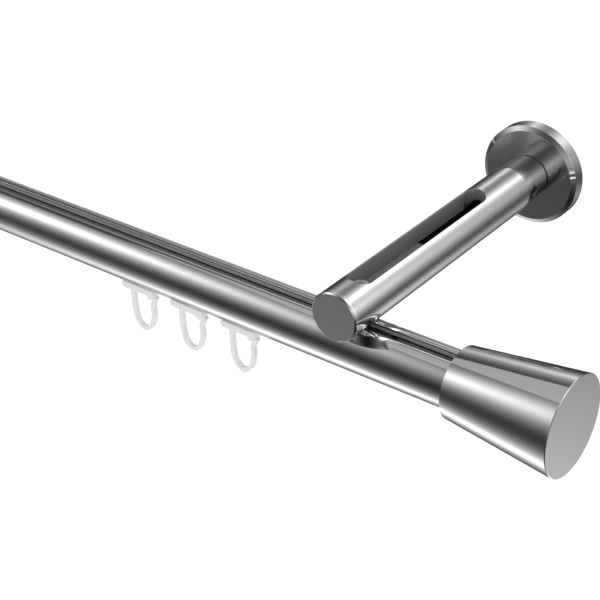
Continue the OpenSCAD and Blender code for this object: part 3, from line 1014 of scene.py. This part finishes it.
def rib_ring_tree():
    """Straight ribs round a circle, as on a knurled screw head."""
    tree, given, result = new_tree(
        "rib_ring", "GeometryNodeTree",
        {"Start": "Geometry", "Count": "Int", "Ring radius": "Float", "Rib radius": "Float",
         "Length": "Float", "Metal": "Material"},
        {"Ribs": "Geometry"})
    circle = add_node(tree, "GeometryNodeCurvePrimitiveCircle", Radius=given["Ring radius"])
    spots = add_node(tree, "GeometryNodeCurveToPoints", {"mode": "COUNT"}, Curve=circle.outputs[0],
                     Count=given["Count"])
    rib = add_node(tree, "GeometryNodeMeshCylinder", Vertices=8, Radius=given["Rib radius"],
                   Depth=given["Length"])
    ribs = add_node(tree, "GeometryNodeInstanceOnPoints", Points=spots.outputs[0], Instance=rib.outputs[0])
    end_tree(tree, ribs, given["Metal"], result)
    return tree


def make_grub_screws(side):
    """The grub screws of hub and finial, whose tips point at the axis."""
    socket_w, socket_depth, edge = 2, 1.2, 0.14
    for part, axis, along in (("hub_screw", side.out(), X), ("finial_screw", WALL, Y)):
        low, high = side.span(part, along)
        tip = [side.middle(part, across) for across in (X, Y, Z)]
        tip[along] = low
        body = [(high - low, GRUB_R, 0.15), (0, GRUB_R, 0.4)]
        piece = turned_screw(side.node(part + "_skin"), side.spot(*tip), axis, body, socket_w, socket_depth,
                             BLACK_STEEL, edge)
        side.place(piece, part, "steel_screw")


def make_clamp_screw(side):
    """The clamp screw: a knurled head with a socket, and a threaded shank."""
    low, high = side.span("clamp_screw", Z)
    shank, head_r, shank_end = 16, 3.35, 0.5
    socket_w, socket_depth = 3, 2
    ribs, rib_r, rib_inset = 40, 0.15, 0.45
    body = [(high - low, head_r, 0.35), (shank, head_r, 0.1), (shank, GRUB_R, 0.1)]
    body += thread(shank_end, shank - shank_end, GRUB_R) + [(0, GRUB_R - 0.3, 0.1)]
    tip, head = side.spot(0, -CLAMP_Y, low), high - low - shank
    piece = turned_screw(side.node("clamp_screw_body"), tip, UP, body, socket_w, socket_depth, STEEL)
    values = {"Count": ribs, "Ring radius": head_r * MM, "Rib radius": rib_r * MM,
              "Length": (head - 2 * rib_inset) * MM, "Metal": STEEL}
    knurl = grown("knurl", [(0, 0, 0)], [], RIB_RING, values)
    knurl.data.shade_smooth()
    knurl.data.transform(Matrix.Translation((tip + Vector((0, 0, shank + head / 2))) * MM))
    side.place(merged(side.node("clamp_screw_skin"), [piece, knurl], STEEL), "clamp_screw", "steel_screw")


def make_stop_screw(side):
    """The small screw in the track stop, turned in from below."""
    low, high = side.span("track_stop_screw", Z)
    radius, socket_w, socket_depth = 1.25, 1.25, 1
    tip = side.spot(side.middle("track_stop_screw", X), ROD_Y, high)
    body = [(high - low, radius, 0.15), (0, radius, 0.3)]
    name = side.node("track_stop_screw_skin")
    piece = turned_screw(name, tip, DOWN, body, socket_w, socket_depth, STEEL)
    side.place(piece, "track_stop_screw", "steel_screw")


def make_wall_plate(side):
    """The plate on the wall: a disc with a neck for the hub, and a countersunk hole above and below it."""
    _, end = side.from_wall("wall_plate")
    radius = side.span("wall_plate", Z)[1]
    thickness, neck_r, hole_r, wide_r, spacing = 3, 5, 2.25, 4.2, 23
    behind, before, sharp = -PAST, thickness + 2 * PAST, 0.01
    corners = [
        (0, 0, None), (end, 0, None), (end, neck_r, 0.6), (thickness, neck_r, 0.5),
        (thickness, radius, 0.3), (0, radius, 0.3)
    ]
    sink = [
        (behind, 0, None), (before, 0, None), (before, wide_r, sharp), (thickness, wide_r, sharp),
        (thickness + hole_r - wide_r, hole_r, sharp), (behind, hole_r, sharp)
    ]
    centre = side.spot(0, 0, 0)
    piece = lathe(side.node("wall_plate_skin"), corners, centre, ROOM, ZINC)
    holes = [side.spot(0, 0, height) for height in (-spacing / 2, spacing / 2)]
    walls = [inside_out(lathe_form(sink, hole, ROOM)) for hole in holes]
    cutters = [lathe("cutter", sink, hole, ROOM, CUTTER, turns=64) for hole in holes]
    carve(piece, [lathe_form(corners, centre, ROOM)] + walls, cutters)
    side.place(piece, "wall_plate", "zinc")


def make_clamp_block(side):
    """The block in the arm's bore: round below, with a flat top that the screw's head presses on."""
    start, end = side.from_wall("clamp_block")
    top, radius = side.span("clamp_block", Z)[1], SPIGOT_R
    lift = math.degrees(math.asin(top / radius))
    edge = radius * math.cos(math.radians(lift))
    corners = [(edge, top, 0.3), (-edge, top, 0.3)] + arc((0, 0), radius, 180 - lift, 360 + lift)
    axes = (side.spot(0, 0, 0), ALONG, UP, ROOM)
    piece = bar(side.node("clamp_block_skin"), corners, start, end, axes, ZINC)
    drill(piece, bar_form(corners, axes), side.spot(0, -CLAMP_Y, -ARM_R), UP, GRUB_HOLE_R, 2 * ARM_R)
    side.place(piece, "clamp_block", "zinc")


def make_slot_nut(side):
    """The nut in the rod's groove, which the clamp screw pulls against."""
    low, high = side.span("slot_nut", Z)
    near, far = side.span("slot_nut", Y)
    half, rounding, rim, depth = (far - near) / 2, 0.4, 0.3, 6
    corners = [(half, low, rounding), (half, high, rounding), (-half, high, rounding), (-half, low, rounding)]
    axes = ((0, ROD_Y, 0), WALL, UP, ALONG)
    piece = bar(side.node("slot_nut_skin"), corners, *side.along_rod("slot_nut"), axes, SHADED_NUT_STEEL, rim)
    drill(piece, bar_form(corners, axes), side.spot(0, ROD_Y, low - PAST), UP, GRUB_HOLE_R, depth)
    side.place(piece, "slot_nut", "zinc")


def make_track_stop(side):
    """The stop in the track: a body that runs in the channel, and a neck down through its mouth."""
    low, high = (place - ROD_Z for place in side.span("track_stop", Z))
    body, neck, hole_r, shelf = 4.26, 1.86, 1.3, TRACK_FLOOR_Z + TRACK_GAP
    corners = [
        (-neck, low, 0.3), (neck, low, 0.3), (neck, shelf, 0.2), (body, shelf, 0.4), (body, high, 0.4),
        (-body, high, 0.4), (-body, shelf, 0.4), (-neck, shelf, 0.2)
    ]
    axes = ((0, ROD_Y, ROD_Z), WALL, UP, ALONG)
    piece = bar(side.node("track_stop_skin"), corners, *side.along_rod("track_stop"), axes, PLASTIC)
    under_rod = side.spot(side.middle("track_stop", X), ROD_Y, ROD_Z - ROD_R)
    drill(piece, bar_form(corners, axes), under_rod, UP, hole_r, ROD_R)
    side.place(piece, "track_stop", "stop_plastic")


# Rod

def rod_outline():
    """The rod's section as (y, z, rounding): outer outline, and the hollow inside it."""
    flank_z = math.sqrt(ROD_R ** 2 - FLANK_EDGE_Y ** 2)
    mouth_z = -math.sqrt(ROD_R ** 2 - TRACK_MOUTH_Y ** 2)
    shoulder_z = CREST_Z - SHOULDER_R
    outer, inner = FLANK_EDGE_Y - SHOULDER_Y, SHOULDER_Y - GROOVE_MOUTH_Y
    outer_z = shoulder_z + math.sqrt(SHOULDER_R ** 2 - outer ** 2)
    inner_z = shoulder_z + math.sqrt(SHOULDER_R ** 2 - inner ** 2)
    flank = arc((0, 0), ROD_R, math.degrees(math.atan2(mouth_z, TRACK_MOUTH_Y)),
                math.degrees(math.atan2(flank_z, FLANK_EDGE_Y)), step=2)
    shoulder = arc((SHOULDER_Y, shoulder_z), SHOULDER_R, math.degrees(math.acos(outer / SHOULDER_R)),
                   180 - math.degrees(math.acos(inner / SHOULDER_R)))
    half = (
        [(TRACK_MOUTH_Y, mouth_z, 0.2)] + flank
        + [(FLANK_EDGE_Y, flank_z, 0.08), (FLANK_EDGE_Y, outer_z, 0.05)] + shoulder + [
            (GROOVE_MOUTH_Y, inner_z, 0.2), (GROOVE_MOUTH_Y, GROOVE_ROOF_Z, 0.15),
            (GROOVE_CHANNEL_Y, GROOVE_ROOF_Z, 0.2), (GROOVE_CHANNEL_Y, GROOVE_FLOOR_Z, 0.2)
        ]
    )
    track = [
        (TRACK_CHANNEL_Y, TRACK_ROOF_Z, 0.2), (TRACK_CHANNEL_Y, TRACK_FLOOR_Z, 0.2),
        (TRACK_MOUTH_Y, TRACK_FLOOR_Z, 0.15)
    ]
    mirrored = [(-y, z, rounding) for y, z, rounding in reversed(track + half)]
    outside = half + mirrored + track
    radius = ROD_R - ROD_WALL
    groove, channel = GROOVE_CHANNEL_Y + CHANNEL_WALL, TRACK_CHANNEL_Y + CHANNEL_WALL
    top, bottom = GROOVE_FLOOR_Z - CHANNEL_WALL, TRACK_ROOF_Z + CHANNEL_WALL
    groove_z, channel_z = math.sqrt(radius ** 2 - groove ** 2), -math.sqrt(radius ** 2 - channel ** 2)
    high, low = math.degrees(math.atan2(groove_z, groove)), math.degrees(math.atan2(channel_z, channel))
    right = [(groove, top, 0.3), (groove, groove_z, 0.1)] + arc((0, 0), radius, high, low) + [
        (channel, channel_z, 0.1), (channel, bottom, 0.3)]
    inside = right + [(-y, z, rounding) for y, z, rounding in reversed(right)]
    return outside, inside


def drawn_profile_tree():
    """Draws a flat section out to a length along X, with both ends closed."""
    tree, given, result = new_tree(
        "drawn_profile", "GeometryNodeTree", {"Section": "Geometry", "Length": "Float", "Metal": "Material"},
        {"Profile": "Geometry"})
    run = add_node(tree, "ShaderNodeCombineXYZ", Z=given["Length"])
    sides = add_node(tree, "GeometryNodeExtrudeMesh", {"mode": "EDGES"}, Mesh=given["Section"],
                     Offset=run.outputs[0], Offset_Scale=1.0)
    sides = add_node(tree, "GeometryNodeFlipFaces", Mesh=sides.outputs[0])
    curve = add_node(tree, "GeometryNodeMeshToCurve", Mesh=given["Section"])
    cap = add_node(tree, "GeometryNodeFillCurve", Curve=curve.outputs[0])
    far_cap = add_node(tree, "GeometryNodeTransform", Geometry=cap.outputs[0], Translation=run.outputs[0])
    near_cap = add_node(tree, "GeometryNodeFlipFaces", Mesh=cap.outputs[0])
    joined = tree.nodes.new("GeometryNodeJoinGeometry")
    for part in (sides, near_cap, far_cap):
        link(tree, part.outputs[0], joined.inputs[0])
    closed = add_node(tree, "GeometryNodeMergeByDistance", Geometry=joined.outputs[0], Distance=0.001 * MM)
    quarter = math.pi / 2
    laid = add_node(tree, "GeometryNodeTransform", Geometry=closed.outputs[0], Rotation=(quarter, 0, quarter))
    end_tree(tree, laid, given["Metal"], result)
    return tree


def make_rod():
    """The rod, drawn out from its section; each long face keeps the section's own normals."""
    low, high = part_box("rod")
    vertices, edges, normals = [], [], []
    for loop in rod_outline():
        first = len(vertices)
        for point, normal in rounded(loop):
            vertices.append((point.x, point.y, 0))
            normals += [normal.x, normal.y, 0]
        count = len(vertices) - first
        edges += [(first + index, first + (index + 1) % count) for index in range(count)]
    values = {"Length": high.x - low.x, "Metal": ROD_CHROME}
    attributes = {"outward": ("FLOAT_VECTOR", normals)}
    piece = grown("rod_skin", vertices, edges, drawn_profile_tree(), values, attributes)
    mesh = piece.data
    mesh.transform(Matrix.Translation((low.x, ROD_Y * MM, ROD_Z * MM)))
    mesh.shade_smooth()
    outward = mesh.attributes["outward"]
    corner_normals = []
    for face in mesh.polygons:
        at_end = abs(face.normal.x) > 0.5
        for corner in face.loop_indices:
            y, z, _ = outward.data[mesh.loops[corner].vertex_index].vector
            corner_normals.append(Vector(face.normal) if at_end else Vector((0, y, z)))
    mesh.normals_split_custom_set(corner_normals)
    mesh.attributes.remove(outward)
    place_piece(piece, "rod")


# Gliders

def smooth_line(points, steps):
    """A smooth line through points, with steps between each two of them."""
    line = []
    for index in range(len(points) - 1):
        before, start = Vector(points[max(index - 1, 0)]), Vector(points[index])
        end, after = Vector(points[index + 1]), Vector(points[min(index + 2, len(points) - 1)])
        for step in range(steps):
            t = step / steps
            line.append(0.5 * (
                2 * start + (end - before) * t + (2 * before - 5 * start + 4 * end - after) * t * t
                + (3 * start - before - 3 * end + after) * t ** 3
            ))
    return line + [Vector(points[-1])]


def moulded_hook_tree():
    """Sweeps a rounded section along a line; the section gets thinner but not narrower with the taper."""
    tree, given, result = new_tree(
        "moulded_hook", "GeometryNodeTree",
        {"Line": "Geometry", "Width": "Float", "Thickness": "Float", "Rounding": "Float",
         "Plastic": "Material"},
        {"Hook": "Geometry"})
    taper = add_node(tree, "GeometryNodeInputNamedAttribute", {"data_type": "FLOAT"}, Name="taper").outputs[0]
    line = add_node(tree, "GeometryNodeMeshToCurve", Mesh=given["Line"])
    section = add_node(tree, "GeometryNodeCurvePrimitiveQuadrilateral", Width=given["Width"],
                       Height=given["Thickness"])
    soft = add_node(tree, "GeometryNodeFilletCurve", {"mode": "POLY"}, Curve=section.outputs[0], Count=4,
                    Radius=given["Rounding"])
    swept = add_node(tree, "GeometryNodeCurveToMesh", Curve=line.outputs[0], Profile_Curve=soft.outputs[0],
                     Scale=taper, Fill_Caps=True)
    position = tree.nodes.new("GeometryNodeInputPosition").outputs[0]
    place = add_node(tree, "ShaderNodeSeparateXYZ", Vector=position)
    wide = math_node(tree, "DIVIDE", place.outputs["Y"], taper)
    widened = add_node(tree, "ShaderNodeCombineXYZ", X=place.outputs["X"], Y=wide, Z=place.outputs["Z"])
    moved = add_node(tree, "GeometryNodeSetPosition", Geometry=swept.outputs[0], Position=widened.outputs[0])
    end_tree(tree, moved, given["Plastic"], result)
    return tree


def stadium(length, width):
    """A flat outline with round ends, centred on zero."""
    radius, straight = width / 2, (length - width) / 2
    right = [(straight, -radius, 0)] + arc((straight, 0), radius, -90, 90, step=6) + [(straight, radius, 0)]
    return right + [(-x, -y, rounding) for x, y, rounding in right]


def make_hook(under):
    """A glider's hook, swept along its line under the plate, with a rounded tip."""
    width, root_t, tip_t, rounding = 2.1, 1.8, 1.6, 0.28
    line = smooth_line(HOOK_LINE, steps=10)
    forward = (line[-1] - line[-2]).normalized()
    tapers = [1 - (1 - tip_t / root_t) * index / (len(line) - 1) for index in range(len(line))]
    end, end_taper = line[-1], tapers[-1]
    for lean in TIP_LEANS:
        line.append(end + forward * math.sin(math.radians(lean)) * tip_t / 2)
        tapers.append(end_taper * math.cos(math.radians(lean)))
    vertices, edges = [(point.x, 0, point.y) for point in line], [(i, i + 1) for i in range(len(line) - 1)]
    values = {"Width": width * MM, "Thickness": root_t * MM, "Rounding": rounding * MM, "Plastic": PLASTIC}
    hook = grown("hook", vertices, edges, moulded_hook_tree(), values, {"taper": ("FLOAT", tapers)})
    hook.data.shade_smooth()
    finish(hook, [("WEIGHTED_NORMAL", {})])
    hook.data.transform(Matrix.Translation(Vector(under) * MM))
    return hook


def make_glider_shape():
    """One glider at x = 0: the head and neck in the track, the plate under the rod and the hook."""
    underside, top = -13, -10.05
    plate_l, plate_w, plate_t = 16, 8, top - underside
    beak_in, beak_r, beak_drop, beak_tip = 2.2, 1, 1.4, 0.3
    head_l, head_w, head_t, neck_w = 14, 8.24, 2.2, 3.72
    in_plate, in_head = 0.5, 1
    half, end_r, step = plate_l / 2, plate_t / 2, 15
    beak_x = half - beak_in
    head_z = TRACK_FLOOR_Z + TRACK_GAP
    plate = (
        [(beak_x - beak_r - 0.5, 0, 0.5)] + arc((beak_x, beak_r - beak_drop), beak_r, 180, 330, step)
        + [(half - beak_tip, 0.7, 0.8), (half, plate_t, 0.4), (end_r - half, plate_t, 0)]
        + arc((end_r - half, end_r), end_r, 90, 270, step) + [(end_r - half, 0, 0)]
    )
    neck, head = stadium(head_l - neck_w, neck_w), stadium(head_l, head_w)
    under = (0, ROD_Y, ROD_Z + underside)
    upright, flat = (under, ALONG, UP, WALL), ((0, ROD_Y, ROD_Z), ALONG, WALL, UP)
    parts = [
        bar("plate", plate, -plate_w / 2, plate_w / 2, upright, PLASTIC, rim=0.3),
        bar("neck", neck, top - in_plate, TRACK_FLOOR_Z + in_head, flat, PLASTIC, rim=0.05, steps=1),
        bar("head", head, head_z, head_z + head_t, flat, PLASTIC, rim=0.3),
    ]
    return merged("glider_shape", parts + [make_hook(under)], PLASTIC)


def make_gliders():
    """The gliders, each in its place along the track."""
    shape = make_glider_shape()
    for number in range(1, GLIDERS + 1):
        node = f"glider_{number}"
        mesh = shape.data.copy()
        mesh.transform(Matrix.Translation((middle_of(node).x * MM, 0, 0)))
        glider = bpy.data.objects.new(node + "_skin", mesh)
        bpy.context.scene.collection.objects.link(glider)
        place_piece(glider, node)
    bpy.data.objects.remove(shape)


def dress_solids():
    """Gives the CAD nodes, which the pieces replace, the finishes of their slots."""
    for part in frame["record"]["subparts"]:
        materials = frame["nodes"][part["node"]].data.materials
        materials.clear()
        materials.append(SLOT_MATERIAL.get(part["material_slot"], FINIAL_CHROME))


RIB_RING = rib_ring_tree()
SIDE_MAKERS = (
    make_rosette, make_hub, make_arm, make_end_cap, make_finial, make_grub_screws, make_clamp_screw,
    make_stop_screw, make_wall_plate, make_clamp_block, make_slot_nut, make_track_stop
)

make_camera()
make_studio()
make_floor()
dress_solids()
for name in ("right", "left"):
    for make in SIDE_MAKERS:
        make(Side(name))
make_rod()
make_gliders()
